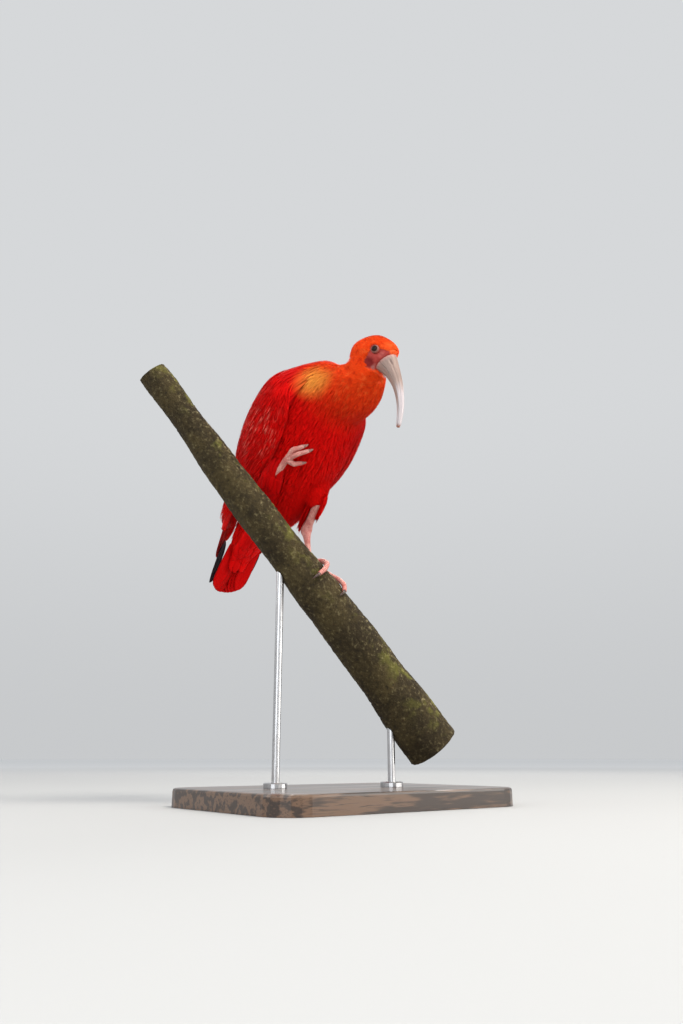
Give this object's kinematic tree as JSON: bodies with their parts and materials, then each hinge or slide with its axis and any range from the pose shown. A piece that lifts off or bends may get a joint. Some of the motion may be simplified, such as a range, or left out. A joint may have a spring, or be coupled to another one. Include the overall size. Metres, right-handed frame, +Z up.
{
  "type": "scarlet ibis display model",
  "caption": "Life-size scarlet ibis resting on one leg on a cut branch, with a curved bill and folded wings, on a plain stand.",
  "frame": {"origin": "middle of the stand's underside", "axes": "+Z up, +X the way the bird faces, +Y the bird's left"},
  "size_m": [0.3289, 0.3787, 0.4801],
  "materials": {
    "scarlet": "matte",
    "scarlet_deep": "matte",
    "orange_red": "matte",
    "ink_black": "satin",
    "bill_horn": "satin",
    "leg_pink": "satin",
    "eye_brown": "gloss",
    "bark": "rough",
    "stand_wood": "satin",
    "stand_steel": "brushed"
  },
  "bodies": {
    "root": {"bill_lower": "bill_horn", "bill_upper": "bill_horn", "eye_left": "eye_brown", "eye_right": "eye_brown", "foot_left": "leg_pink", "foot_right": "leg_pink", "head": "orange_red", "leg_left": "leg_pink", "leg_right": "leg_pink", "neck": "orange_red", "perch_branch": "bark", "primaries_left": "ink_black", "primaries_right": "ink_black", "stand_base": "stand_wood", "stand_rod_high": "stand_steel", "stand_rod_low": "stand_steel", "tail": "scarlet", "thigh_left": "scarlet", "torso": "scarlet", "wing_left": "scarlet_deep", "wing_right": "scarlet_deep"}
  },
  "joints": []
}
